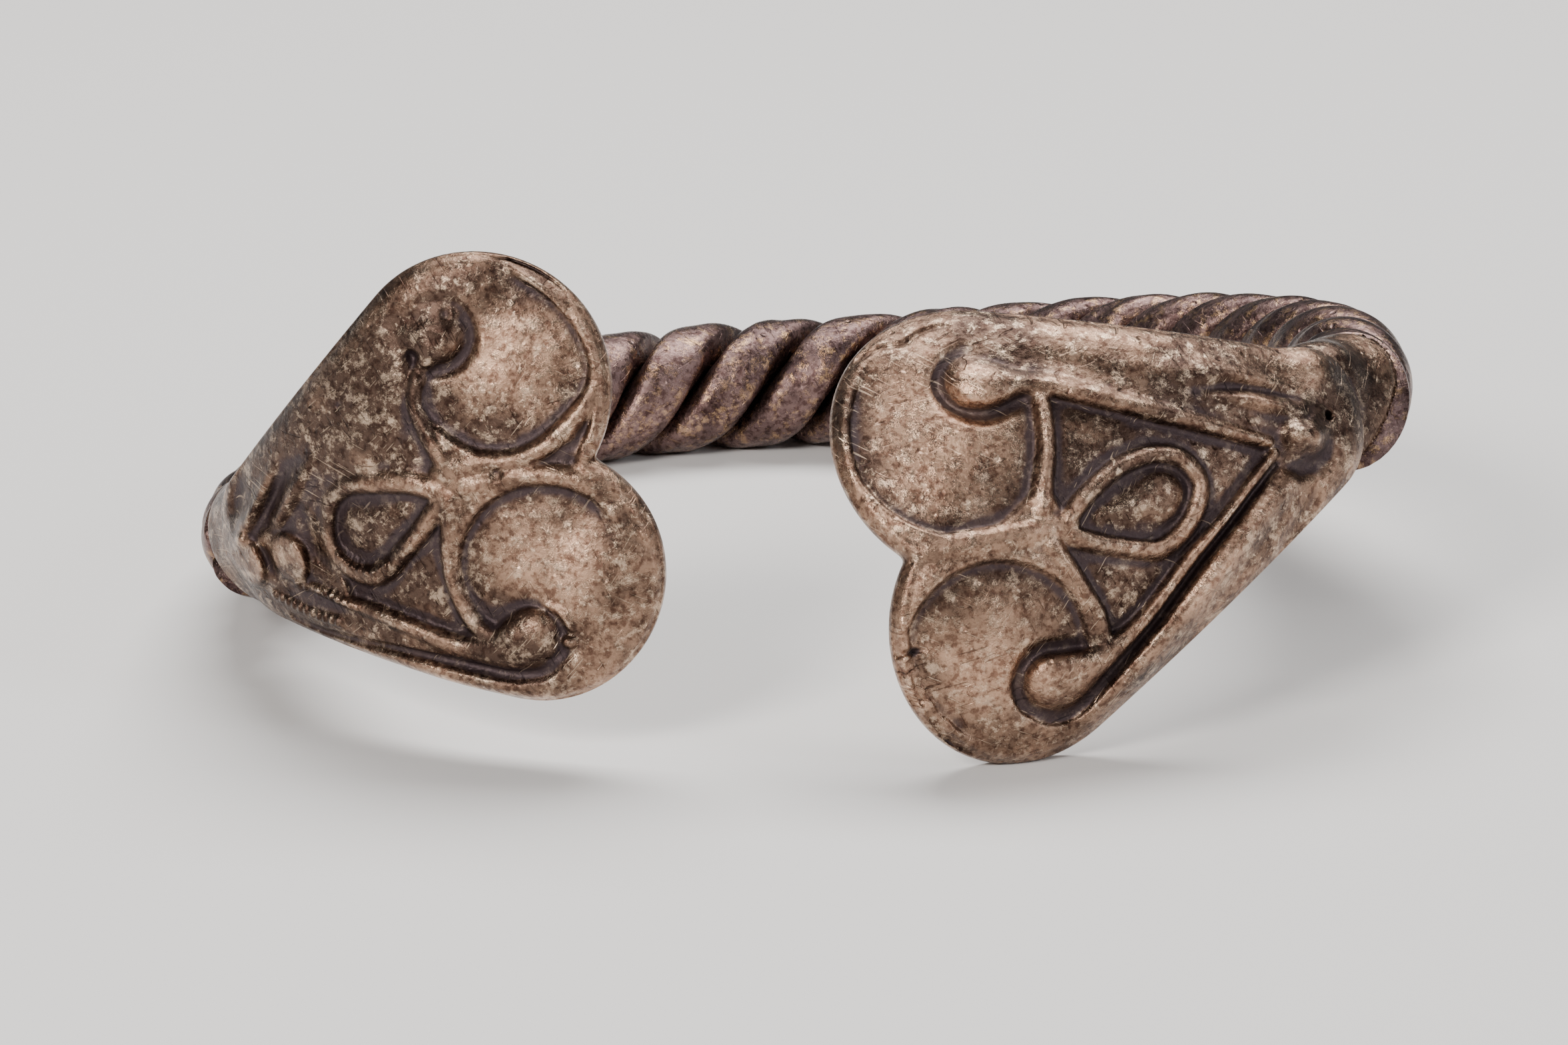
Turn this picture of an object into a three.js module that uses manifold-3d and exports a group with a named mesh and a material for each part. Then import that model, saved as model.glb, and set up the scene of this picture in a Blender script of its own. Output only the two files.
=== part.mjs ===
import * as THREE from 'three';
import { mergeVertices } from 'three/addons/utils/BufferGeometryUtils.js';
import Module from 'manifold-3d';

// An open arm ring of twisted silver rods, with a cast heart-shaped plate at each end.
// Lengths are millimetres, angles are degrees, +Z is up and the opening faces -Y.

const wasm = await Module();
wasm.setup();

// Hoop centre line, an oval seen from above. Angle 90 is its back, 0 its right, 180 its left.
const HOOP_HALF_WIDTH = 41.25;
const HOOP_BACK_DEPTH = 45;
const HOOP_FRONT_DEPTH = 52;
const LEFT_MOUTH_ANGLE = 190;
const RIGHT_MOUTH_ANGLE = -12.5;

// The hoop lies on its back and its left, and its ends rise towards the hearts
const LEFT_LIFT = 8;
const LEFT_LIFT_START = 145;
const LEFT_LIFT_SPAN = 56;
const RIGHT_LIFT = 17;
const RIGHT_LIFT_START = 98;
const RIGHT_LIFT_SPAN = 130;

// Three rods twisted into one, thickest at the back
const STRAND_COUNT = 3;
const ROD_RADIUS_BACK = 5.3;
const ROD_RADIUS_LEFT = 4.5;
const ROD_RADIUS_RIGHT = 4.6;
const LEAD_IN_DIAMETERS = 1.93;
const GROOVE_DEPTH_SHARE = 0.24;
const GROOVE_SHARPNESS = 3.5;
const TWIST_PHASE = 70;
const TWIST_STEPS_PER_TURN = 10;
const PIECE_GAP = 0.3;
const REST_FLAT_DEPTH = 0.25;

// Cuts one end of the rod, and is too small to reach the other
const END_CUT_SIZE = 40;

// Heart plates: heights above the sunk lobe fields
const BAND_HEIGHT = 1.1;
const PLATE_THICKNESS = 1.4;
const PLATE_EDGE = 0.5;
const RIDGE_HEIGHT = 0.5;
const RIDGE_HALF_WIDTH = 1;
const BULB_HEIGHT = 1;
const GROOVE_RADIUS = 0.55;
const COLLAR_RADIUS = 4.8;

// The collar follows the hoop's line past its mouth by these angles, and is then cut at the mouth
const COLLAR_OVERRUN_ANGLES = [4, 12, 20];

// Each heart has its own place, bend and worn pattern. On its face u runs from the collar to
// the cleft, v runs up, and the origin is the tip of the teardrop. fromMouth leads there from
// the hoop's mouth. The face bends away as lift + slopeU u + slopeV v - bendU u^2 - bendV v^2.
const RIGHT_HEART = {
  mouthAngle: RIGHT_MOUTH_ANGLE,
  mouthSlant: 40,
  fromMouth: [-21, -20.4, -2.35],
  along: [-0.911, -0.351, -0.217],
  out: [0.244, -0.882, 0.402],
  face: { lift: -0.2, slopeU: 0.01, slopeV: 0.045, bendU: 0.0095, bendV: 0.0251 },
  upperLobe: { u: 4.3, v: 7.6, radius: 10.2 },
  lowerLobe: { u: 5.6, v: -5.6, radius: 9.8 },
  collarEnd: { u: -20, v: 1, radius: 5.6 },
  upperField: { u: 6.2, v: 9.2, radius: 6.9 },
  lowerField: { u: 7.8, v: -7.4, radius: 6.3 },
  upperBulb: { u: 2.6, v: 12.4, radius: 1.7 },
  lowerBulb: { u: 4.8, v: -9.8, radius: 1.8 },
  upperRidge: [[1.6, 12], [-1.6, 10], [-8.5, 5.6], [-17.5, 1.3]],
  lowerRidge: [[4, -9.4], [-0.1, -8.5], [-7.6, -5.3], [-17.5, 0.6]],
  groove: [[4.6, -11.9], [0.3, -10.4], [-7.4, -5.8], [-15.8, -0.9]],
  teardrop: { u: -0.3, v: 0, endU: -7.4, endV: 0.3, radius: 2.5 },
  upperPocket: [[-0.9, 2.9], [-2, 8.6], [-7.6, 4.9], [-10.6, 3.1], [-7.4, 4.3], [-4, 4]],
  collarPocket: [[-12.1, 2.4], [-16, 0.6], [-11.8, -2.6], [-11.4, 0.2]],
  lowerPocket: [[0.9, -2.1], [-2.4, -3.7], [-5.2, -4.9], [-1.2, -7.6], [-0.4, -4.9]],
  knobs: [{ u: -19.7, v: 0.7, radius: 2.2 }, { u: -15.5, v: 6.6, radius: 1.7 }],
  collar: [
    { u: -3.5, v: 0.3, depth: 0.4, halfWidth: 4.5, halfThickness: 1 },
    { u: -9, v: 0.6, depth: 1.3, halfWidth: 7.2, halfThickness: 2 },
    { u: -14, v: 1, depth: 2.4, halfWidth: 6.6, halfThickness: 3 },
    { u: -18.6, v: 1.2, depth: 3.9, halfWidth: 5.8, halfThickness: 4 },
  ],
};

const LEFT_HEART = {
  mouthAngle: LEFT_MOUTH_ANGLE,
  mouthSlant: 25,
  fromMouth: [13.2, -19, 9.2],
  along: [0.931, -0.142, 0.337],
  out: [-0.184, -0.978, 0.097],
  face: { lift: 0.3, slopeU: 0.296, slopeV: -0.052, bendU: 0.0205, bendV: 0.0049 },
  upperLobe: { u: 6.3, v: 6.4, radius: 9.9 },
  lowerLobe: { u: 6.2, v: -7.3, radius: 9.5 },
  collarEnd: { u: -13.5, v: -1, radius: 6.2 },
  upperField: { u: 8.2, v: 8.6, radius: 6.6 },
  lowerField: { u: 7, v: -7.7, radius: 6.3 },
  upperBulb: { u: 4.8, v: 11.4, radius: 1.6 },
  lowerBulb: { u: 4.9, v: -11.9, radius: 1.9 },
  upperRidge: [[4, 11], [1.4, 10.2], [-5, 6.4], [-12.5, 2]],
  lowerRidge: [[4, -11.6], [-0.6, -10.3], [-6.1, -6.9], [-12.7, -4]],
  groove: [[4.4, -14.2], [-0.8, -11.9], [-8, -7.7], [-13.5, -5.1]],
  teardrop: { u: 0.2, v: 0, endU: -5.6, endV: -1.3, radius: 2.3 },
  upperPocket: [[1.5, 3], [0.4, 8], [-2.1, 6.3], [-7, 4], [-4, 3.9], [-0.9, 3.1]],
  collarPocket: [[-9.6, 2], [-13, 0.4], [-10, -4.6], [-9.7, -1.6]],
  lowerPocket: [[0.9, -2.4], [-3.6, -5], [-7.2, -5.4], [-2.9, -8.2], [-0.5, -9], [-0.5, -5.7]],
  knobs: [{ u: -13.2, v: -2, radius: 1.9 }, { u: -17, v: -1.8, radius: 2 }],
  collar: [
    { u: -1, v: -0.5, depth: 0.4, halfWidth: 4.5, halfThickness: 1 },
    { u: -6, v: -0.8, depth: 1.2, halfWidth: 7.2, halfThickness: 2 },
    { u: -10, v: -1, depth: 2.4, halfWidth: 6.6, halfThickness: 3 },
    { u: -14, v: -1.2, depth: 3.6, halfWidth: 5.8, halfThickness: 4.2 },
  ],
};

const OUTLINE_POINTS = 42;
const POCKET_POINTS = 16;
const BULB_POINTS = 12;
const COLLAR_SIDES = 14;

const ALLOY = { color: 0x8d7a6c, roughness: 0.45, metalness: 0.9 };
const DARK_ALLOY = { color: 0x6b5a50, roughness: 0.5, metalness: 0.9 };

const radians = THREE.MathUtils.degToRad;
const up = new THREE.Vector3(0, 0, 1);

function smoothRise(share) {
  return THREE.MathUtils.smoothstep(share, 0, 1);
}

// Closed solids

function solidFromTriangles(points, triangles) {
  const geometry = new THREE.BufferGeometry();
  geometry.setAttribute('position', new THREE.Float32BufferAttribute(points.flatMap((p) => p.toArray()), 3));
  geometry.setIndex(triangles.flat());
  return solidFromGeometry(geometry);
}

function signedVolume(positions, index) {
  const [a, b, c] = [new THREE.Vector3(), new THREE.Vector3(), new THREE.Vector3()];
  let total = 0;
  for (let i = 0; i < index.length; i += 3) {
    a.fromArray(positions, 3 * index[i]);
    b.fromArray(positions, 3 * index[i + 1]);
    c.fromArray(positions, 3 * index[i + 2]);
    total += a.dot(b.cross(c)) / 6;
  }
  return total;
}

// A mirrored form comes out inside out, so its triangles are turned round
function solidFromGeometry(geometry) {
  const bare = geometry.clone();
  bare.deleteAttribute('normal');
  bare.deleteAttribute('uv');
  const merged = mergeVertices(bare, 1e-4);
  const positions = new Float32Array(merged.attributes.position.array);
  const index = new Uint32Array(merged.index.array);
  if (signedVolume(positions, index) < 0) {
    for (let i = 0; i < index.length; i += 3) {
      [index[i], index[i + 1]] = [index[i + 1], index[i]];
    }
  }
  return new wasm.Manifold(new wasm.Mesh({ numProp: 3, vertProperties: positions, triVerts: index }));
}

// Rings of equal length joined in order, closed at both ends by a fan. The first side of a
// ring is split along the other diagonal, so that the facing sides of neighbouring strands
// are split alike.
function loft(rings) {
  const count = rings[0].length;
  const points = rings.flat();
  const triangles = [];
  for (let ring = 0; ring + 1 < rings.length; ring++) {
    for (let side = 0; side < count; side++) {
      const a = ring * count + side;
      const b = ring * count + ((side + 1) % count);
      const [c, d] = [a + count, b + count];
      if (side === 0) {
        triangles.push([a, b, d], [a, d, c]);
      } else {
        triangles.push([a, b, c], [b, d, c]);
      }
    }
  }
  for (const [ring, turned] of [[0, true], [rings.length - 1, false]]) {
    const centre = new THREE.Vector3();
    rings[ring].forEach((p) => centre.addScaledVector(p, 1 / count));
    const middle = points.push(centre) - 1;
    for (let side = 0; side < count; side++) {
      const a = ring * count + side;
      const b = ring * count + ((side + 1) % count);
      triangles.push(turned ? [b, a, middle] : [a, b, middle]);
    }
  }
  return solidFromTriangles(points, triangles);
}

function halfSpace(point, normal, size = 400) {
  const geometry = new THREE.BoxGeometry(size, size, size);
  geometry.translate(0, 0, size / 2);
  geometry.applyQuaternion(new THREE.Quaternion().setFromUnitVectors(up, normal));
  geometry.translate(...point.toArray());
  return solidFromGeometry(geometry);
}

function aboveFloor(solid) {
  return solid.intersect(halfSpace(new THREE.Vector3(), up));
}

// Hoop

function rodRadius(angle) {
  const mouth = angle > 90 ? LEFT_MOUTH_ANGLE : RIGHT_MOUTH_ANGLE;
  const end = angle > 90 ? ROD_RADIUS_LEFT : ROD_RADIUS_RIGHT;
  return ROD_RADIUS_BACK - (ROD_RADIUS_BACK - end) * ((angle - 90) / (mouth - 90)) ** 2;
}

function hoopPoint(angle) {
  const depth = Math.sin(radians(angle)) > 0 ? HOOP_BACK_DEPTH : HOOP_FRONT_DEPTH;
  const left = Math.max(0, (angle - LEFT_LIFT_START) / LEFT_LIFT_SPAN);
  const right = smoothRise((RIGHT_LIFT_START - angle) / RIGHT_LIFT_SPAN);
  return new THREE.Vector3(
    HOOP_HALF_WIDTH * Math.cos(radians(angle)),
    depth * Math.sin(radians(angle)),
    rodRadius(angle) - REST_FLAT_DEPTH + LEFT_LIFT * left ** 2 + RIGHT_LIFT * right,
  );
}

// The direction from the left end to the right end
function hoopDirection(angle) {
  return hoopPoint(angle - 0.5).sub(hoopPoint(angle + 0.5)).normalize();
}

// Stations along the rod, from end to end, at equal steps of its twist
function twistStations() {
  const step = 0.25;
  const overrun = 14;
  const stations = [];
  let twist = 0;
  let backTwist = 0;
  for (let angle = LEFT_MOUTH_ANGLE + overrun; angle >= RIGHT_MOUTH_ANGLE - overrun; angle -= step) {
    stations.push({ angle, twist });
    const lead = LEAD_IN_DIAMETERS * 2 * rodRadius(angle);
    twist += (360 * hoopPoint(angle).distanceTo(hoopPoint(angle - step))) / lead;
    if (angle > 90) backTwist = twist;
  }
  const even = [];
  for (const station of stations) {
    if (station.twist >= (even.length * 360) / TWIST_STEPS_PER_TURN) {
      even.push({ angle: station.angle, turn: station.twist - backTwist + TWIST_PHASE });
    }
  }
  return even;
}

// A third of the rod's round: a blunt point at its axis and a flattened round outside
function strandSection(radius) {
  const sector = 180 / STRAND_COUNT;
  const inner = PIECE_GAP / 2 / Math.sin(radians(sector));
  const points = [{ radius: inner, angle: 0 }];
  for (const share of [-1, -0.72, -0.25, 0.25, 0.72, 1]) {
    const reach = radius * (1 - GROOVE_DEPTH_SHARE * Math.abs(share) ** GROOVE_SHARPNESS);
    const edge = sector - THREE.MathUtils.radToDeg(Math.asin(PIECE_GAP / 2 / reach));
    points.push({ radius: reach, angle: share * edge });
  }
  return points;
}

function mouthPlane(heart) {
  const point = hoopPoint(heart.mouthAngle);
  const towardsHeart = hoopDirection(heart.mouthAngle);
  if (heart.mouthAngle > 90) towardsHeart.negate();
  const across = new THREE.Vector3().crossVectors(towardsHeart, up).normalize();
  const normal = towardsHeart.clone().applyAxisAngle(across, radians(heart.mouthSlant));
  return { point, normal };
}

function makeStrand(number, stations) {
  const offset = (360 / STRAND_COUNT) * number + 180 / STRAND_COUNT;
  const rings = stations.map(({ angle, turn }) => {
    const centre = hoopPoint(angle);
    const direction = hoopDirection(angle);
    const inward = new THREE.Vector3().crossVectors(direction, up).normalize();
    const upward = new THREE.Vector3().crossVectors(inward, direction);
    return strandSection(rodRadius(angle)).map((p) => {
      const around = radians(turn + offset + p.angle);
      return centre.clone()
        .addScaledVector(inward, p.radius * Math.cos(around))
        .addScaledVector(upward, p.radius * Math.sin(around));
    });
  });
  let strand = aboveFloor(loft(rings));
  for (const heart of [LEFT_HEART, RIGHT_HEART]) {
    const { point, normal } = mouthPlane(heart);
    point.addScaledVector(normal, -PIECE_GAP / 2);
    strand = strand.subtract(halfSpace(point, normal, END_CUT_SIZE));
  }
  return strand;
}

// Heart plates

function heartPlace(heart) {
  const out = new THREE.Vector3(...heart.out).normalize();
  const along = new THREE.Vector3(...heart.along);
  along.addScaledVector(out, -along.dot(out)).normalize();
  const upward = new THREE.Vector3().crossVectors(out, along);
  if (upward.z < 0) upward.negate();
  const origin = hoopPoint(heart.mouthAngle).add(new THREE.Vector3(...heart.fromMouth));
  return ({ u, v }, height) => {
    const { lift, slopeU, slopeV, bendU, bendV } = heart.face;
    const face = lift + slopeU * u + slopeV * v - bendU * u * u - bendV * v * v;
    return origin.clone()
      .addScaledVector(along, u)
      .addScaledVector(upward, v)
      .addScaledVector(out, face + height);
  };
}

// Distance to a shape that tapers between two circles, less than 0 inside it
function taperDistance(p, from, to) {
  const length = Math.hypot(to.u - from.u, to.v - from.v);
  const dir = { u: (to.u - from.u) / length, v: (to.v - from.v) / length };
  const x = Math.abs(dir.u * (p.v - from.v) - dir.v * (p.u - from.u));
  const y = dir.u * (p.u - from.u) + dir.v * (p.v - from.v);
  const sine = (from.radius - to.radius) / length;
  const cosine = Math.sqrt(1 - sine * sine);
  const side = cosine * y - sine * x;
  if (side < 0) return Math.hypot(x, y) - from.radius;
  if (side > cosine * length) return Math.hypot(x, y - length) - to.radius;
  return cosine * x + sine * y - from.radius;
}

// The heart's edge: two tapers from the collar, one to each lobe
function heartOutline(heart) {
  const inside = (p) => Math.min(
    taperDistance(p, heart.collarEnd, heart.upperLobe),
    taperDistance(p, heart.collarEnd, heart.lowerLobe),
  ) < 0;
  const cleftV = (heart.upperLobe.v + heart.lowerLobe.v) / 2;
  const outline = [];
  for (let i = 0; i < OUTLINE_POINTS; i++) {
    const angle = (2 * Math.PI * i) / OUTLINE_POINTS;
    const reachTo = (r) => ({ u: r * Math.cos(angle), v: cleftV + r * Math.sin(angle) });
    let [near, far] = [0, 40];
    while (far - near > 0.01) {
      const middle = (near + far) / 2;
      if (inside(reachTo(middle))) near = middle;
      else far = middle;
    }
    outline.push(reachTo(near));
  }
  return outline;
}

// A closed form over an outline, as rings that shrink towards its centre: steps give each
// ring's share of the outline and its height, from the middle of one side to the other's
function overOutline(place, outline, steps) {
  const centre = { u: 0, v: 0 };
  for (const p of outline) {
    centre.u += p.u / outline.length;
    centre.v += p.v / outline.length;
  }
  return loft(steps.map(([share, height]) => outline.map((p) => place({
    u: centre.u + share * (p.u - centre.u),
    v: centre.v + share * (p.v - centre.v),
  }, height))));
}

function circleOutline({ u, v, radius }, count = POCKET_POINTS) {
  return Array.from({ length: count }, (_, i) => {
    const angle = (2 * Math.PI * i) / count;
    return { u: u + radius * Math.cos(angle), v: v + radius * Math.sin(angle) };
  });
}

function teardropOutline({ u, v, endU, endV, radius }) {
  const length = Math.hypot(endU - u, endV - v);
  const turn = Math.atan2(endV - v, endU - u);
  const spread = Math.acos(radius / length);
  const points = [{ u, v }];
  const arcs = 10;
  for (let i = 0; i <= arcs; i++) {
    const angle = turn + Math.PI + spread + ((2 * Math.PI - 2 * spread) * i) / arcs;
    points.push({ u: endU + radius * Math.cos(angle), v: endV + radius * Math.sin(angle) });
  }
  return points;
}

function cornerOutline(corners) {
  return corners.map(([u, v]) => ({ u, v }));
}

// Pockets are cut down to the field level, 0
function pocket(place, outline) {
  const above = BAND_HEIGHT + 3 * RIDGE_HEIGHT;
  return overOutline(place, outline, [[0.5, 0], [1, 0], [1, above], [0.5, above]]);
}

function bulb(place, disc, height) {
  const sunk = -PLATE_THICKNESS / 2;
  const steps = [[0.4, height], [0.8, height * 0.8], [1, height * 0.4], [1, sunk], [0.5, sunk]];
  return overOutline(place, circleOutline(disc, BULB_POINTS), steps);
}

// A ridge or a groove: a six-sided bar that runs along the face at the given height
function barAlong(place, corners, halfWidth, height, tall) {
  const route = new THREE.CatmullRomCurve3(corners.map(([u, v]) => new THREE.Vector3(u, v, 0)));
  const steps = 9;
  const rings = [];
  for (let i = 0; i <= steps; i++) {
    const at = route.getPointAt(i / steps);
    const dir = route.getTangentAt(i / steps);
    const side = (share, rise) => place({
      u: at.x - dir.y * share * halfWidth,
      v: at.y + dir.x * share * halfWidth,
    }, height + rise * tall);
    rings.push([side(-1, 0), side(-0.5, 1), side(0.5, 1), side(1, 0), side(0.5, -1), side(-0.5, -1)]);
  }
  return loft(rings);
}

// The collar: round where it meets the hoop, widening and thinning into the plate
function collarSolid(heart, place) {
  const sign = heart.mouthAngle > 90 ? -1 : 1;
  const width = place({ u: 0, v: 1 }, 0).sub(place({ u: 0, v: -1 }, 0)).normalize();
  const sections = heart.collar.map(({ u, v, depth, halfWidth, halfThickness }) => ({
    at: place({ u, v }, -depth),
    halfWidth,
    halfThickness,
  }));
  for (const angle of COLLAR_OVERRUN_ANGLES) {
    sections.push({
      at: hoopPoint(heart.mouthAngle + sign * angle),
      halfWidth: COLLAR_RADIUS,
      halfThickness: COLLAR_RADIUS,
    });
  }
  const spine = new THREE.CatmullRomCurve3(sections.map((s) => s.at));
  const rings = sections.map((s, i) => {
    const direction = spine.getTangent(i / (sections.length - 1));
    const across = new THREE.Vector3().crossVectors(direction, width).normalize();
    const wide = new THREE.Vector3().crossVectors(across, direction);
    return Array.from({ length: COLLAR_SIDES }, (_, k) => {
      const angle = (2 * Math.PI * k) / COLLAR_SIDES;
      return s.at.clone()
        .addScaledVector(wide, s.halfWidth * Math.cos(angle))
        .addScaledVector(across, s.halfThickness * Math.sin(angle));
    });
  });
  const { point, normal } = mouthPlane(heart);
  return loft(rings).intersect(halfSpace(point.addScaledVector(normal, PIECE_GAP / 2), normal));
}

function makeHeart(heart) {
  const place = heartPlace(heart);
  const shell = [
    [0.25, BAND_HEIGHT],
    [0.5, BAND_HEIGHT],
    [0.75, BAND_HEIGHT],
    [0.95, BAND_HEIGHT],
    [1, BAND_HEIGHT - PLATE_EDGE],
    [1, PLATE_EDGE - PLATE_THICKNESS],
    [0.93, -PLATE_THICKNESS],
    [0.5, -PLATE_THICKNESS],
  ];
  let solid = overOutline(place, heartOutline(heart), shell);
  solid = solid.add(collarSolid(heart, place));
  for (const ridge of [heart.upperRidge, heart.lowerRidge]) {
    solid = solid.add(barAlong(place, ridge, RIDGE_HALF_WIDTH, BAND_HEIGHT, RIDGE_HEIGHT));
  }
  const pockets = [
    circleOutline(heart.upperField),
    circleOutline(heart.lowerField),
    teardropOutline(heart.teardrop),
    cornerOutline(heart.upperPocket),
    cornerOutline(heart.collarPocket),
    cornerOutline(heart.lowerPocket),
  ];
  for (const outline of pockets) {
    solid = solid.subtract(pocket(place, outline));
  }
  for (const disc of [heart.upperBulb, heart.lowerBulb]) {
    solid = solid.add(bulb(place, disc, BAND_HEIGHT + BULB_HEIGHT / 2));
  }
  for (const disc of heart.knobs) {
    solid = solid.add(bulb(place, disc, BAND_HEIGHT + BULB_HEIGHT));
  }
  const cut = barAlong(place, heart.groove, GROOVE_RADIUS, BAND_HEIGHT, BAND_HEIGHT);
  return aboveFloor(solid.subtract(cut));
}

// Scene

const bracelet = new THREE.Group();

function addPiece(name, solid, finish) {
  const mesh = solid.getMesh();
  const geometry = new THREE.BufferGeometry();
  geometry.setAttribute('position', new THREE.BufferAttribute(mesh.vertProperties, 3));
  geometry.setIndex(new THREE.BufferAttribute(mesh.triVerts, 1));
  const piece = new THREE.Mesh(geometry, new THREE.MeshStandardMaterial(finish));
  piece.name = name;
  bracelet.add(piece);
}

const stations = twistStations();
for (let number = 0; number < STRAND_COUNT; number++) {
  addPiece(`strand_${number + 1}`, makeStrand(number, stations), DARK_ALLOY);
}
addPiece('left_heart_terminal', makeHeart(LEFT_HEART), ALLOY);
addPiece('right_heart_terminal', makeHeart(RIGHT_HEART), ALLOY);

// The origin is under the middle of the whole ring, on the surface it lies on
const middle = new THREE.Box3().setFromObject(bracelet).getCenter(new THREE.Vector3());
bracelet.position.set(-middle.x, -middle.y, 0);

export default bracelet;
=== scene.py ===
"""Looks of the twisted arm ring with two heart-shaped plates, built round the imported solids."""

import bmesh
import bpy
import numpy as np
from mathutils import Matrix, Vector


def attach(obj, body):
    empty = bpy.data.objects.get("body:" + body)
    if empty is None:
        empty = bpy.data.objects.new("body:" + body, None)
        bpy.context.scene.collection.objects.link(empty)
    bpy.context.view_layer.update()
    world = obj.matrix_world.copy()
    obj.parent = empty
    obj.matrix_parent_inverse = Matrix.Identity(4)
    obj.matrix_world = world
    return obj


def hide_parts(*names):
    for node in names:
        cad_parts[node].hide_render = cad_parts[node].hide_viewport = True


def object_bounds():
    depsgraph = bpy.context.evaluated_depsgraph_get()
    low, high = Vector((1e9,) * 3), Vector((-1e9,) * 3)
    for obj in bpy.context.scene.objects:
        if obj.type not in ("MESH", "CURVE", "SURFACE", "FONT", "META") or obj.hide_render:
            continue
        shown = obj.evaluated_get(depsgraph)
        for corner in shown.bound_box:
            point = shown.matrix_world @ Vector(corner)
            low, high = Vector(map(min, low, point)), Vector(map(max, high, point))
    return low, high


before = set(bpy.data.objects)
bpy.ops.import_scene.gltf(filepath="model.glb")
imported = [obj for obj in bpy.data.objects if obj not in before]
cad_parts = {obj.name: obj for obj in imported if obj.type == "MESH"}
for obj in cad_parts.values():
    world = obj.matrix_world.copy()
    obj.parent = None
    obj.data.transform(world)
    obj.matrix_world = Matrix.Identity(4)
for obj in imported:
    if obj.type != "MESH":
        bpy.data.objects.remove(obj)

CAD_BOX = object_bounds()
MM = 0.001

# The camera stands where the photograph was taken from
IMAGE_WIDTH = 2353
SENSOR_WIDTH = 36.0
FOCAL_PIXELS = 10029.1
CAMERA_PLACE = (-1.623, -491.787, 165.2)
CAMERA_RIGHT = (0.9999858, -0.00164688, -0.00506857)
CAMERA_UP = (0.00532941, 0.30901261, 0.95104301)
CAMERA_BACK = (0.0, -0.95106, 0.30902)

# Hoop, as in the solids: millimetres and degrees
CENTRE_SHIFT = np.array([-0.0734, -6.6865, 0.0])
HALF_WIDTH, BACK_DEPTH, FRONT_DEPTH = 41.25, 45.0, 52.0
LEFT_MOUTH, RIGHT_MOUTH = 190.0, -12.5
LEFT_LIFT, LEFT_LIFT_START, LEFT_LIFT_SPAN = 8.0, 145.0, 56.0
RIGHT_LIFT, RIGHT_LIFT_START, RIGHT_LIFT_SPAN = 17.0, 98.0, 130.0
RADIUS_BACK, RADIUS_LEFT, RADIUS_RIGHT = 5.3, 4.5, 4.6
LEAD_IN_DIAMETERS = 1.93
GROOVE_DEPTH_SHARE = 0.24
GROOVE_SHARPNESS = 3.5
TWIST_PHASE = 70.0
PIECE_GAP = 0.3
REST_DEPTH = 0.25
STRANDS = 3

# Strands: steps round the outside and down a flank, the undercut beside a groove, the dents,
# and how far from a mouth its cut reaches
STRAND_STEPS, FLANK_STEPS = 34, 3
UNDERCUT, UNDERCUT_START, UNDERCUT_SPAN = 0.75, 0.72, 0.28
RING_SPACING, STRAND_HALF_WIDTH = 0.38, 5
DENT_DEPTH, DENT_SIZE, DENT_LEVEL, DENT_SEED = 0.11, 1.3, 0.6, 31
MOUTH_REACH = 30

# Hearts: millimetres, with heights above the sunk lobe fields
BAND = 1.1
THICKNESS = 1.4
EDGE_ROUNDING = 0.75
COLLAR_RADIUS = 4.8
VOXEL = 0.195
SMOOTHING_ROUNDS = 3
EDGE_FALL, EDGE_FALL_REACH = 0.45, 2.2
FIELD_WALL, FIELD_CROWN, FIELD_CROWN_REACH = 0.6, 0.45, 6
FIELD_MOAT, FIELD_MOAT_REACH = 0.12, 0.9
PETAL_SHOULDER = 1.7
RIB_MOAT, RIB_BLEND = 0.26, 0.16
RIM_HEIGHT, RIM_HALF_WIDTH, RIM_BLEND = 1.05, 0.65, 0.1
BEAD_PITCH, BEAD_HALF_WIDTH, BEAD_HEIGHT = 0.58, 0.45, 0.55
ROUGHNESS_BAND, ROUGHNESS_HEIGHT = 2.4, 0.42
PIT_COUNT = 90
SEAM_DEPTH, SEAM_REACH = 1.1, 1.1

# the spot and the lobe fields' middles are worn polish with a painted highlight
# A heart's pattern is in plate coordinates: u runs from the collar to the cleft, and v upwards.
#   face          lift, slopes and bends of the plate over u and v
#   lobes, collar_end   circles (u, v, radius) that make the outline
#   fields        the sunk lobe fields, each open towards "open", where its floor rises
#   pockets       (corners, depth, softness of the wall)
#   ribs, bumps, cuts, valleys   lines of (u, v, half width, height or depth)
#   rims          u at which the raised outer rim starts and is full
#   petal         two circles and the rise of the drop between them
#   shells        (u, v, half width, half height, rise)
#   swellings     (x, y, z from the middle of the mouth, reach, rise)
#   beads         lines of (u, v)
#   pits          (u, v, radius, depth)
#   painted_highlight_spot, rough_edge   (u, v, reach);  stains, rough_spots   (u, v, reach, amount)
#   collar        (u, v, depth under the plate, half width, half thickness)

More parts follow.
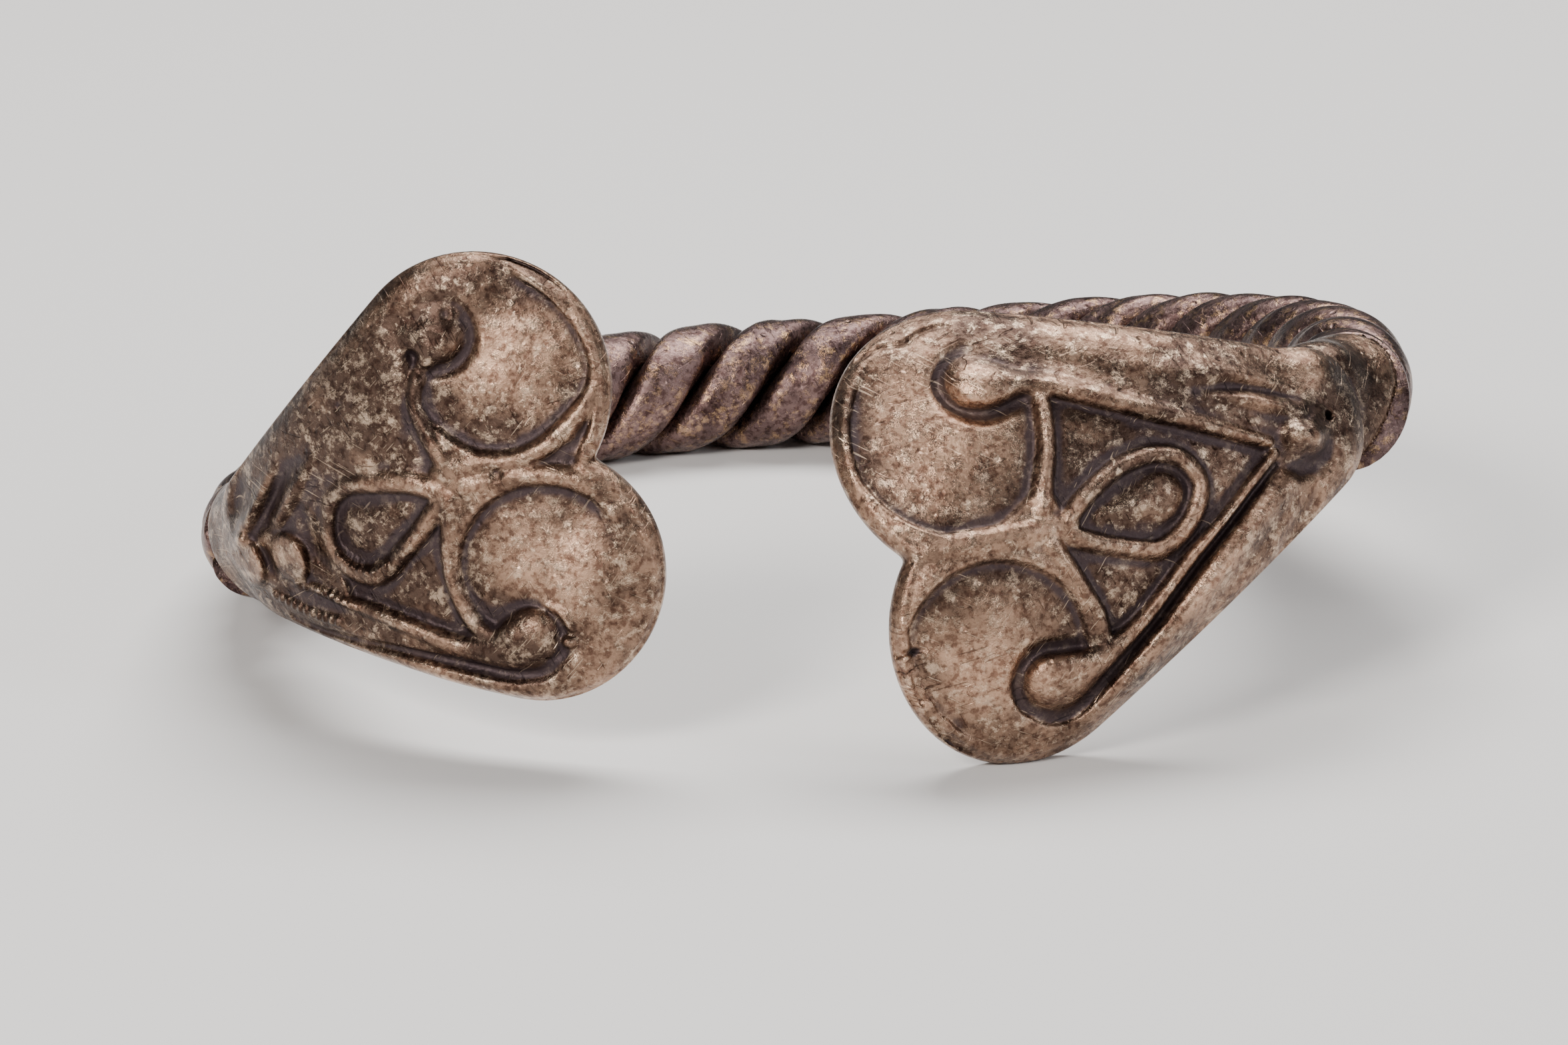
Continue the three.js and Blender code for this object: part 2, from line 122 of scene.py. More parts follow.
RIGHT_HEART = {
    "node": "right_heart_terminal",
    "mouth": RIGHT_MOUTH, "slant": 40.0,
    "from_mouth": (-21.0, -20.4, -2.35),
    "along": (-0.911, -0.351, -0.217), "out": (0.244, -0.882, 0.402),
    "face": (-0.2, 0.01, 0.045, 0.0095, 0.0251),
    "upper_lobe": (4.3, 7.6, 10.2), "lower_lobe": (5.6, -5.6, 9.8), "collar_end": (-20, 1, 5.6),
    "fields": [
        {"centre": (6.55, 8.95), "radii": (6.85, 7.45), "open": (-0.35, 0.94), "rise": (1.5, 6.3)},
        {"centre": (8.5, -7.4), "radii": (6.8, 6.75), "open": (-0.1, -1), "rise": (2.2, 5.8)},
    ],
    "painted_highlight_spot": (2.6, 0.1, 4.5),
    "stains": [(-19.5, 0.2, 3.5, 1.0), (-25, 2, 6, 0.7), (-12, 6, 5, 0.5), (0, 14.5, 6, 0.6),
               (13, 12, 4, 0.5), (-6, 2, 7, 0.4)],
    "pockets": [
        ([(0.6, 0.2), (1.3, 3.2), (0.4, 5.1), (-0.4, 7.1), (-1.2, 9.2), (-3.3, 8.8), (-5.9, 7.1),
          (-8.5, 5.4), (-11.3, 3.6), (-14.1, 1.8), (-16.2, 0.3), (-16, -0.5), (-13.7, -1.8),
          (-10.7, -3.6), (-7.9, -5), (-5.2, -6.8), (-2.8, -8.3), (-0.5, -9.1), (0.6, -8),
          (0.6, -6.8), (1.1, -5.2), (1.7, -3.4), (2, -1.5)], 1.1, 0.7),
    ],
    "ribs": [
        [(14, 2.2, 1.2, 0.9), (11.9, 1.6, 1.15, 1.1), (8.4, 0.9, 1.15, 1.3), (5.4, 0.4, 1.2, 1.4),
         (2.3, 0, 1.4, 1.45), (1.1, -0.2, 1.1, 1.35), (0.7, -0.3, 0.9, 1.25)],
        [(-1.2, 9.6, 0.8, 1.3), (-0.9, 8.6, 0.75, 1.25), (-0.4, 7.1, 0.72, 1.25),
         (0.4, 5.1, 0.75, 1.25), (1.3, 3.5, 0.8, 1.3), (2.3, 1.4, 1.0, 1.3)],
        [(3.1, 11.9, 2.1, 1.85), (2.2, 11.5, 2.0, 1.85), (0.2, 10.8, 1.2, 1.6),
         (-1.5, 10.1, 1.05, 1.5), (-3.3, 9, 1.0, 1.5), (-5.9, 7.3, 0.95, 1.45),
         (-8.5, 5.6, 0.9, 1.45), (-11.3, 3.8, 0.8, 1.4), (-14.1, 2, 0.65, 1.35),
         (-16.5, 0.6, 0.5, 1.3)],
        [(0.9, 0.1, 0.8, 1.2), (-1.5, 1.5, 0.75, 1.2), (-4.2, 2.5, 0.75, 1.25),
         (-6.9, 2.6, 0.75, 1.25), (-8.9, 1.8, 0.78, 1.25), (-9.8, 0.5, 0.8, 1.25),
         (-9.9, -0.8, 0.8, 1.25), (-9, -2.2, 0.8, 1.25), (-7.5, -3.4, 0.78, 1.2),
         (-5.5, -4, 0.72, 1.15), (-3.8, -3.5, 0.72, 1.15), (-1.4, -2.4, 0.75, 1.15),
         (0.8, -1.1, 0.85, 1.2)],
        [(2.4, -1.2, 1.0, 1.25), (2, -2.4, 0.85, 1.2), (1.6, -3.6, 0.8, 1.2),
         (1.1, -5.2, 0.8, 1.2), (0.6, -6.8, 0.8, 1.25), (0.5, -8.6, 0.9, 1.35)],
        [(-16.6, -0.3, 0.45, 1.3), (-13.7, -2, 0.55, 1.35), (-10.7, -3.8, 0.62, 1.4),
         (-7.9, -5.2, 0.7, 1.4), (-5.2, -7, 0.75, 1.45), (-2.8, -8.5, 0.8, 1.5),
         (-0.5, -9.5, 1.0, 1.6), (1.9, -10.2, 1.45, 1.8), (3.9, -10.4, 1.95, 2.0),
         (4.9, -10.3, 2.1, 2.0)],
    ],
    "rims": [(4, 8)],
    "bumps": [
        [(-19, 0.6, 2.9, 0.8), (-19.9, 0.2, 2.9, 0.8)],
        [(-18.6, 0.4, 1.6, 1.1), (-19.7, -0.1, 1.7, 1.2)],
        [(-10.6, 8, 1.2, 0.2), (-12.6, 7.3, 1.8, 0.6), (-15, 6.2, 2.0, 0.8),
         (-17.4, 4.6, 1.9, 0.75), (-19.8, 2.9, 1.6, 0.3)],
        [(-13, 5.2, 0.7, 0.15), (-15.3, 4.3, 0.9, 0.5), (-17.5, 3.2, 1.1, 0.75),
         (-19.6, 2, 1.0, 0.4)],
        [(-17, -2.7, 1.3, 0.5), (-12.4, -5.1, 1.6, 0.9), (-8.2, -7.5, 1.8, 1.0),
         (-4.2, -9.9, 1.8, 0.95), (-0.4, -12, 1.7, 0.75), (2.5, -13.5, 1.5, 0.4)],
    ],
    "cuts": [
        [(-16.4, -1.1, 0.3, 0.4), (-13.7, -2.6, 0.38, 0.75), (-9.6, -5, 0.42, 0.85),
         (-6.6, -6.9, 0.44, 0.85), (-3.4, -9, 0.46, 0.85), (-0.7, -10.6, 0.5, 0.85),
         (1.5, -11.9, 0.52, 0.8), (3, -12.7, 0.6, 0.75), (4.6, -12.9, 0.65, 0.65),
         (6.1, -12.3, 0.65, 0.5), (7.1, -11, 0.6, 0.35), (7.2, -9.6, 0.5, 0.2)],
        [(14.6, -5.6, 0.28, 0.4), (14.2, -8.6, 0.3, 0.6), (13, -11.4, 0.3, 0.6),
         (11.5, -13.1, 0.25, 0.35)],
        [(15.8, -4.9, 0.2, 0.6), (14.2, -4.9, 0.2, 0.6), (13, -5.1, 0.16, 0.3)],
        [(9.3, 16.2, 0.25, 0.35), (7.4, 16.4, 0.2, 0.3), (6.1, 16.1, 0.25, 0.35),
         (4.4, 16.5, 0.2, 0.3), (2.9, 16.4, 0.2, 0.2)],
    ],
    "valleys": [
        [(-12.4, 6, 1.0, 0.2), (-15.2, 5.3, 1.1, 0.7), (-18, 3.9, 1.0, 0.75),
         (-19.9, 2.9, 0.8, 0.25)],
        [(-19.8, -2.9, 0.8, 0.2), (-18.6, -4.3, 1.0, 0.5), (-17, -5.6, 1.0, 0.5),
         (-15.2, -6.9, 0.9, 0.15)],
        [(-0.2, 12.6, 1.2, 0.1), (-3.6, 11, 1.4, 0.25), (-8, 8, 1.3, 0.2), (-12, 5.4, 1.0, 0.1)],
        [(-17.2, -1.6, 0.9, 0.2), (-18.8, -2, 1.3, 0.6), (-20.6, -1.6, 1.3, 0.6),
         (-21.9, -0.4, 1.0, 0.2)],
        [(2.4, 14.3, 0.8, 0.2), (3.9, 13.9, 0.9, 0.45), (5.1, 12.8, 1.0, 0.6),
         (5.3, 11.4, 1.1, 0.7), (4.6, 10, 1.1, 0.7), (3.1, 9.2, 1.1, 0.65), (1.4, 9.2, 1.0, 0.5),
         (0.3, 9.6, 0.8, 0.2)],
        [(7.3, -11.7, 0.8, 0.2), (7.5, -10, 0.9, 0.4), (6.7, -8.6, 0.9, 0.5), (5.2, -7.9, 1.0, 0.5),
         (3.6, -8.1, 1.0, 0.4), (2.2, -8.4, 0.8, 0.2)],
    ],
    "petal": ((-1.8, -0.35, 0.35), (-6.8, -0.45, 2.1), 0.85),
    "shells": [],
    "swellings": [(-3.6, -6.5, 4.2, 3.4, 0.8), (-1.2, -2.8, 4.6, 4.2, 0.9)],
    "beads": [],
    "pits": [(-22.2, 1.0, 0.36, 1.5), (1.2, 0.4, 0.22, 0.3), (0.7, 0.9, 0.2, 0.25),
             (-4.4, 8.2, 0.2, 0.15), (5.6, -10.6, 0.22, 0.2), (13.9, 6.6, 0.3, 0.25)],
    "rough_edge": (14.4, -7.8, 7.5),
    "rough_spots": [(-19.4, 0.2, 2.6, 0.2), (14, -4.6, 2.2, 0.14)],
    "collar": [(-3.5, 0.3, 0.4, 4.5, 1), (-9, 0.6, 1.3, 7.2, 2), (-14, 1, 2.4, 6.6, 3),
               (-18.6, 1.2, 3.9, 5.8, 4)],
}

LEFT_HEART = {
    "node": "left_heart_terminal",
    "mouth": LEFT_MOUTH, "slant": 25.0,
    "from_mouth": (13.2, -19.0, 9.2),
    "along": (0.931, -0.142, 0.337), "out": (-0.184, -0.978, 0.097),
    "face": (0.3, 0.296, -0.052, 0.0205, 0.0049),
    "upper_lobe": (6.3, 6.4, 9.9), "lower_lobe": (6.2, -7.3, 9.5), "collar_end": (-13.5, -1, 6.2),
    "fields": [
        {"centre": (8.85, 8.4), "radii": (6.65, 6.95), "open": (-0.55, 0.83), "rise": (1, 5.8)},
        {"centre": (7.3, -7.4), "radii": (6.35, 6.35), "open": (0.75, -0.66), "rise": (-0.5, 5)},
    ],
    "painted_highlight_spot": (3, 0.6, 4),
    "stains": [(-1, 8, 7, 0.8), (-9, 4, 8, 0.9), (-14.5, 3, 5, 0.7), (4.8, 11.1, 3, 0.7),
               (-6, -1.5, 6, 0.6), (-12, -6, 5, 0.6), (13, 13, 5, 0.5), (2, -12.5, 6, 0.5)],
    "pockets": [
        ([(1.5, -1.2), (0.9, -4.1), (0.5, -6), (0.5, -8), (0.6, -10.2), (-1.8, -9.9), (-3.9, -8.6),
          (-6, -7.3), (-8.3, -6), (-8.4, -4.6), (-8.7, -2.3), (-8.6, -0.6), (-7.7, 1.4),
          (-5.8, 2.4), (-3.3, 2.2), (-0.4, 1.5), (1.5, 0.5)], 1.05, 0.7),
        ([(2.2, 7.2), (2.3, 4.9), (2.6, 2.6), (1.4, 1.8), (-0.5, 2.6), (-2.2, 3.2), (-0.6, 5.2)],
         0.8, 2.6),
        ([(9.4, 0.3), (12, 1.1), (14.2, 2.5), (14.9, 1.3), (13.6, -1.6), (11.6, -0.8)], 0.7, 0.6),
    ],
    "ribs": [
        [(3.9, 9.7, 0.9, 1.15), (3, 8.9, 0.75, 1.15), (2.1, 7.5, 0.7, 1.2), (1.9, 6.2, 0.7, 1.25),
         (2.2, 4.4, 0.75, 1.3), (2.8, 2.4, 1.0, 1.35)],
        [(2.2, 1.1, 1.3, 1.4), (4.9, 1.5, 1.0, 1.25), (7.5, 0.9, 0.9, 1.2), (9.8, 1.1, 0.85, 1.2),
         (12, 2, 0.8, 1.15), (14, 3.2, 0.75, 1.1), (15.2, 4.3, 0.7, 1.0)],
        [(2.2, 0.3, 1.3, 1.35), (4.6, 0.1, 1.0, 1.25), (7.2, -0.1, 0.85, 1.2),
         (9.8, -0.7, 0.85, 1.2), (11.9, -1.8, 0.85, 1.15), (13.1, -3, 0.8, 1.1)],
        [(1.9, 0.2, 1.0, 1.3), (-0.4, 1.5, 0.95, 1.25), (-3.3, 2.2, 0.95, 1.2),
         (-5.8, 2.4, 0.9, 1.2), (-7.6, 1.4, 0.8, 1.2), (-8.6, -0.6, 0.75, 1.2),
         (-8.6, -2.3, 0.75, 1.2), (-7.8, -3.7, 0.75, 1.25), (-6.2, -4.5, 0.8, 1.25),
         (-4.6, -4.3, 0.8, 1.25), (-2.7, -3.2, 0.78, 1.2), (-0.6, -2, 0.8, 1.2),
         (1.4, -0.6, 0.9, 1.25)],
        [(2.2, -0.4, 1.0, 1.3), (1.5, -2.3, 0.8, 1.2), (0.8, -4.1, 0.72, 1.2),
         (0.4, -6, 0.72, 1.2), (0.5, -8, 0.75, 1.25), (1, -9.9, 0.9, 1.35),
         (2, -11.2, 1.1, 1.5)],
        [(-11.3, -4.6, 0.5, 1.2), (-8.5, -6.2, 0.65, 1.35), (-6, -7.7, 0.75, 1.45),
         (-3.9, -9, 0.8, 1.5), (-1.8, -10.4, 0.9, 1.55), (0.3, -11.4, 1.05, 1.6),
         (2.2, -11.9, 1.6, 1.8), (3.9, -11.8, 2.15, 1.95), (4.9, -11.6, 2.25, 1.95)],
        [(3.4, 11.6, 1.5, 1.25), (4.5, 11.1, 1.8, 1.6), (5.1, 10.9, 1.9, 1.7)],
        [(7.3, -12.6, 0.6, 1.6), (7.5, -12.7, 0.6, 1.6)],
    ],
    "rims": [(10, 13)],
    "bumps": [
        [(-8, 4.6, 0.9, 0.2), (-10.4, 2.8, 1.1, 0.9), (-12.6, 1.1, 1.1, 0.9)],
        [(-11.4, 4.6, 0.9, 0.2), (-13.9, 2.7, 1.1, 0.9), (-15.8, 1.1, 1.1, 0.9),
         (-16.8, 0.1, 0.9, 0.5)],
        [(-8.3, -9.8, 1.5, 0.3), (-4.9, -11.5, 1.7, 0.55), (-1.7, -13.2, 1.8, 0.6),
         (1.7, -14.7, 1.7, 0.5), (5, -15.7, 1.5, 0.2)],
        [(6.4, -9.4, 0.4, 0.15), (7.6, -10.6, 0.5, 0.45), (7.9, -11.8, 0.5, 0.4)],
    ],
    "cuts": [
        [(-14.6, -6.5, 0.3, 0.3), (-12.1, -7.8, 0.35, 0.45), (-9, -9, 0.4, 0.55),
         (-5.7, -10.2, 0.42, 0.7), (-3.2, -11.3, 0.45, 0.75), (-0.4, -12.6, 0.47, 0.75),
         (1.7, -13.6, 0.5, 0.65), (3.5, -14.2, 0.5, 0.5), (5, -14.3, 0.5, 0.35),
         (6.6, -13.6, 0.5, 0.2)],
        [(11.6, 14.9, 0.3, 0.5), (13.3, 13, 0.35, 0.55), (14.4, 11.2, 0.35, 0.4),
         (15, 9.3, 0.3, 0.2)],
    ],
    "valleys": [
        [(-9.3, 4.9, 0.8, 0.1), (-10.6, 4.6, 1.0, 0.25), (-12.2, 2.9, 1.2, 0.65),
         (-14.1, 1.1, 1.1, 0.4), (-14.6, 0.5, 1.0, 0.15)],
        [(-14.6, 5, 0.9, 0.2), (-16.2, 3.2, 1.1, 0.7), (-17.2, 1.6, 0.9, 0.3)],
        [(-10.2, 1.4, 0.8, 0.2), (-10.2, -0.6, 1.1, 0.4), (-10, -2.4, 1.0, 0.4),
         (-9.2, -4.1, 0.8, 0.2)],
        [(-14.9, -0.9, 0.8, 0.15), (-14.8, -2, 0.8, 0.4), (-14.6, -3.1, 0.8, 0.2)],
        [(2.6, 10.2, 0.6, 0.3), (3.3, 8.9, 0.7, 0.5), (5.2, 8.5, 0.9, 0.5), (7.1, 9.5, 1.0, 0.55),
         (7.6, 11.3, 1.0, 0.5), (6.9, 13, 0.9, 0.35), (4.9, 13.6, 0.8, 0.15)],
        [(4.9, 11, 0.9, 0.25), (5.1, 10.9, 0.9, 0.25)],
    ],
    "petal": ((-1.4, -0.2, 0.4), (-5.3, -1, 2.0), 0.6),
    "shells": [(-12.6, -1.9, 1.75, 2.1, 1.05), (-16.9, -1.6, 1.9, 2.4, 0.8)],
    "swellings": [],
    "beads": [[(-12.7, -4.0), (-11.1, -4.6), (-9.9, -5.3), (-8.3, -6.3)],
              [(-15.5, -4.6), (-13.8, -5.6), (-12.3, -6.4), (-10.2, -7.3)],
              [(-8, -2.4), (-7.2, -3.3), (-5.9, -3.9), (-4.5, -3.7)]],
    "pits": [(2.9, 10.2, 0.5, 0.4), (6.4, 0.4, 0.5, 0.3), (13.3, 0.2, 0.4, 0.4),
             (6.3, 12.3, 0.4, 0.25), (-3.2, 2.1, 0.35, 0.25), (-4, 8.2, 0.25, 0.2)],
    "rough_edge": (14.5, -6, 4.5),
    "rough_spots": [(-17.3, -0.5, 3.5, 0.14), (6.4, 12, 2.2, 0.12), (13, 0.4, 2.5, 0.12)],
    "collar": [(-1, -0.5, 0.4, 4.5, 1), (-6, -0.8, 1.2, 7.2, 2), (-10, -1, 2.4, 6.6, 3),
               (-14, -1.2, 3.6, 5.8, 4.2)],
}


def unit(v):
    v = np.asarray(v, float)
    return v / np.linalg.norm(v, axis=-1, keepdims=True)


def smooth(t):
    t = np.clip(t, 0, 1)
    return t * t * (3 - 2 * t)


# Hoop

def rod_radius(angle):
    angle = np.asarray(angle, float)
    mouth = np.where(angle > 90, LEFT_MOUTH, RIGHT_MOUTH)
    end = np.where(angle > 90, RADIUS_LEFT, RADIUS_RIGHT)
    return RADIUS_BACK - (RADIUS_BACK - end) * ((angle - 90) / (mouth - 90)) ** 2


def hoop_point(angle):
    angle = np.asarray(angle, float)
    turn = np.radians(angle)
    depth = np.where(np.sin(turn) > 0, BACK_DEPTH, FRONT_DEPTH)
    left = np.maximum(0, (angle - LEFT_LIFT_START) / LEFT_LIFT_SPAN)
    right = smooth((RIGHT_LIFT_START - angle) / RIGHT_LIFT_SPAN)
    height = rod_radius(angle) - REST_DEPTH + LEFT_LIFT * left ** 2 + RIGHT_LIFT * right
    place = np.stack([HALF_WIDTH * np.cos(turn), depth * np.sin(turn), height], -1)
    return place + CENTRE_SHIFT


def hoop_direction(angle):
    angle = np.asarray(angle, float)
    return unit(hoop_point(angle - 0.5) - hoop_point(angle + 0.5))


def mouth_plane(heart):
    """A point on the mouth and the direction from the hoop into the collar."""
    towards = hoop_direction(heart["mouth"]) * (-1 if heart["mouth"] > 90 else 1)
    across = Vector(np.cross(towards, (0, 0, 1))).normalized()
    turned = Matrix.Rotation(np.radians(heart["slant"]), 3, across) @ Vector(towards)
    return hoop_point(heart["mouth"]), np.array(turned)


# Meshes

def make_object(name, points, faces):
    mesh = bpy.data.meshes.new(name)
    mesh.from_pydata((np.asarray(points) * MM).tolist(), [], faces)
    mesh.update()
    obj = bpy.data.objects.new(name, mesh)
    bpy.context.scene.collection.objects.link(obj)
    return obj


def points_of(obj):
    co = np.zeros(len(obj.data.vertices) * 3)
    obj.data.vertices.foreach_get("co", co)
    return co.reshape(-1, 3) / MM


def set_points(obj, points):
    obj.data.vertices.foreach_set("co", (points * MM).ravel())
    obj.data.update()


def normals_of(obj):
    normals = np.zeros(len(obj.data.vertices) * 3)
    obj.data.vertices.foreach_get("normal", normals)
    return normals.reshape(-1, 3)


def neighbours_mean(obj, count):
    """A function that gives each vertex the mean of its neighbours' values."""
    edges = np.zeros(len(obj.data.edges) * 2, np.int64)
    obj.data.edges.foreach_get("vertices", edges)
    a, b = edges.reshape(-1, 2).T
    degree = np.maximum(np.bincount(a, minlength=count) + np.bincount(b, minlength=count), 1)

    def mean(values):
        columns = []
        for column in values.T:
            total = np.bincount(a, column[b], count) + np.bincount(b, column[a], count)
            columns.append(total / degree)
        return np.stack(columns, -1)
    return mean


def add_attribute(obj, name, values):
    attribute = obj.data.attributes.new(name, "FLOAT", "POINT")
    attribute.data.foreach_set("value", np.asarray(values, np.float32))


def mark_cavities(obj, scales):
    """Stores how hollow the surface is at each vertex: 0.5 is flat, 1 is deep in a groove.

    Each scale is a name, the rounds of smoothing that it compares with, and the full depth.
    """
    points = points_of(obj)
    mean = neighbours_mean(obj, len(points))
    soft = points
    done = 0
    for name, rounds, reach in scales:
        for _ in range(rounds - done):
            soft = mean(soft)
        done = rounds
        depth = ((soft - points) * normals_of(obj)).sum(1)
        depth = mean(mean(depth[:, None]))[:, 0]
        add_attribute(obj, name, np.clip(0.5 + 0.5 * depth / reach, 0, 1))


def loft(rings):
    """Rings of equal length joined in order and closed by a fan at both ends."""
    count = len(rings[0])
    points = np.concatenate(list(rings) + [[np.mean(rings[0], 0)], [np.mean(rings[-1], 0)]])
    faces = []
    for ring in range(len(rings) - 1):
        for side in range(count):
            a = ring * count + side
            b = ring * count + (side + 1) % count
            faces.append((a, b, b + count, a + count))
    first, last = len(points) - 2, len(points) - 1
    base = (len(rings) - 1) * count
    for side in range(count):
        after = (side + 1) % count
        faces.append((after, side, first))
        faces.append((base + side, base + after, last))
    return points, faces


def outward(obj):
    work = bmesh.new()
    work.from_mesh(obj.data)
    bmesh.ops.recalc_face_normals(work, faces=work.faces)
    work.to_mesh(obj.data)
    work.free()


def inside_box(points):
    """Keeps every vertex just inside the solids' box."""
    margin = 1e-4
    low, high = (np.array(corner) / MM for corner in CAD_BOX)
    return np.clip(points, low + margin, high - margin)


# Strands

def strand_section(radius):
    """The outer round in equal steps and the two flanks that meet at the rod's axis."""
    sector = np.pi / STRANDS
    share = np.linspace(-1, 1, STRAND_STEPS)
    reach = radius * (1 - GROOVE_DEPTH_SHARE * np.abs(share) ** GROOVE_SHARPNESS)
    reach -= UNDERCUT * smooth((np.abs(share) - UNDERCUT_START) / UNDERCUT_SPAN) ** 2
    angle = share * (sector - np.arcsin(PIECE_GAP / 2 / reach))
    inner = PIECE_GAP / 2 / np.sin(sector)
    flank = np.linspace(0, 1, FLANK_STEPS + 2)[1:-1]
    start, end = (reach[0], angle[0]), (reach[-1], angle[-1])

    def between(corner, shares):
        x = inner + shares * (corner[0] * np.cos(corner[1]) - inner)
        y = shares * corner[0] * np.sin(corner[1])
        return np.hypot(x, y), np.arctan2(y, x)
    down, back = between(start, flank), between(end, flank[::-1])
    radii = np.concatenate([[inner], down[0], reach, back[0]])
    angles = np.concatenate([[0], down[1], angle, back[1]])
    return radii, angles


def twist_table():
    """Angles along the hoop and the rod's twist at each."""
    step, overrun = 0.25, 14.0
    angles = np.arange(LEFT_MOUTH + overrun, RIGHT_MOUTH - overrun - step / 2, -step)
    length = np.linalg.norm(hoop_point(angles) - hoop_point(angles - step), axis=1)
    turn = 360 * length / (LEAD_IN_DIAMETERS * 2 * rod_radius(angles))
    twist = np.concatenate([[0], np.cumsum(turn)[:-1]])
    back = np.cumsum(turn)[angles > 90][-1]
    return angles, twist - back + TWIST_PHASE


def make_strand(number):
    angles, turns = twist_table()
    angles, turns = angles[::2], turns[::2]
    centre = hoop_point(angles)
    direction = hoop_direction(angles)
    inward = unit(np.cross(direction, (0, 0, 1)))
    upward = np.cross(inward, direction)
    offset = 360 / STRANDS * number + 180 / STRANDS
    rings = []
    share = np.linspace(-1, 1, STRAND_STEPS)
    outside = slice(FLANK_STEPS + 1, FLANK_STEPS + 1 + STRAND_STEPS)
    for i in range(len(angles)):
        radii, around = strand_section(float(rod_radius(angles[i])))
        dents = uneven(np.full(STRAND_STEPS, RING_SPACING * i), STRAND_HALF_WIDTH * share,
                       DENT_SIZE, DENT_SEED + number) - DENT_LEVEL
        radii[outside] += DENT_DEPTH * np.minimum(dents, 0) * (1 - share ** 4)
        around = np.radians(turns[i] + offset) + around
        rings.append(centre[i] + np.outer(radii * np.cos(around), inward[i])
                     + np.outer(radii * np.sin(around), upward[i]))
    points, faces = loft(rings)
    name = f"strand_{number + 1}"
    obj = make_object(name + "_worn", points, faces)
    outward(obj)
    work = bmesh.new()
    work.from_mesh(obj.data)
    for heart in (LEFT_HEART, RIGHT_HEART):
        point, normal = mouth_plane(heart)
        point = point - normal * PIECE_GAP / 2
        near = [v for v in work.verts if (v.co / MM - Vector(point)).length < MOUTH_REACH]
        edges = {e for v in near for e in v.link_edges}
        geometry = near + list(edges) + list({f for e in edges for f in e.link_faces})
        bmesh.ops.bisect_plane(work, geom=geometry, plane_co=Vector(point) * MM,
                               plane_no=Vector(normal), clear_outer=True)
    bmesh.ops.holes_fill(work, edges=[e for e in work.edges if e.is_boundary], sides=0)
    bmesh.ops.triangulate(work, faces=[f for f in work.faces if len(f.verts) > 4])
    bmesh.ops.recalc_face_normals(work, faces=work.faces)
    work.to_mesh(obj.data)
    work.free()
    set_points(obj, inside_box(points_of(obj)))
    mark_cavities(obj, (("cavity", 10, 0.22), ("hollow", 70, 0.9)))
    finish_piece(obj, name, TWISTED)


# Hearts

def heart_axes(heart):
    out = unit(heart["out"])
    along = np.array(heart["along"])
    along = unit(along - out * along.dot(out))
    upward = np.cross(out, along)
    if upward[2] < 0:
        upward = -upward
    origin = hoop_point(heart["mouth"]) + np.array(heart["from_mouth"])
    return origin, along, upward, out


def face_height(heart, u, v):
    lift, slope_u, slope_v, bend_u, bend_v = heart["face"]
    return lift + slope_u * u + slope_v * v - bend_u * u * u - bend_v * v * v


def place(heart, u, v, height):
    origin, along, upward, out = heart_axes(heart)
    u, v, height = np.broadcast_arrays(*(np.asarray(x, float) for x in (u, v, height)))
    w = face_height(heart, u, v) + height
    return origin + u[..., None] * along + v[..., None] * upward + w[..., None] * out


def taper_distance(u, v, start, end):
    """Distance to the taper between two circles, below 0 inside it."""
    du, dv = end[0] - start[0], end[1] - start[1]
    length = np.hypot(du, dv)
    du, dv = du / length, dv / length
    x = np.abs(du * (v - start[1]) - dv * (u - start[0]))
    y = du * (u - start[0]) + dv * (v - start[1])
    sine = (start[2] - end[2]) / length
    cosine = np.sqrt(1 - sine * sine)
    side = cosine * y - sine * x
    middle = cosine * x + sine * y - start[2]
    inside_end = np.where(side > cosine * length, np.hypot(x, y - length) - end[2], middle)
    return np.where(side < 0, np.hypot(x, y) - start[2], inside_end)


def edge_distance(heart, u, v):
    return np.minimum(taper_distance(u, v, heart["collar_end"], heart["upper_lobe"]),
                      taper_distance(u, v, heart["collar_end"], heart["lower_lobe"]))


def heart_outline(heart, count=240, farthest=40.0, halvings=24):
    """The outline's points on rays from between the lobes, found by halving."""
    angle = np.linspace(0, 2 * np.pi, count, endpoint=False)
    cleft = (heart["upper_lobe"][1] + heart["lower_lobe"][1]) / 2
    near, far = np.zeros(count), np.full(count, farthest)
    for _ in range(halvings):
        middle = (near + far) / 2
        inside = edge_distance(heart, middle * np.cos(angle), cleft + middle * np.sin(angle)) < 0
        near, far = np.where(inside, middle, near), np.where(inside, far, middle)
    return near * np.cos(angle), cleft + near * np.sin(angle)


def plate_mesh(heart):
    u, v = heart_outline(heart)
    cu, cv = u.mean(), v.mean()
    reach = np.hypot(u - cu, v - cv)
    middle, half = (BAND - THICKNESS) / 2, (BAND + THICKNESS) / 2
    first, last, count = 0.04, 0.98, 18
    rings = []

    def ring(share, inset, height):
        k = share * (1 - inset / reach)
        rings.append(place(heart, cu + k * (u - cu), cv + k * (v - cv), height))
    for share in np.linspace(first, last, count):
        ring(share, EDGE_ROUNDING, BAND)
    for turn in np.linspace(0, np.pi, 12):
        ring(1, EDGE_ROUNDING * (1 - np.sin(turn)), middle + half * np.cos(turn))
    for share in np.linspace(last, first, count):
        ring(share, EDGE_ROUNDING, -THICKNESS)
    return loft(rings)


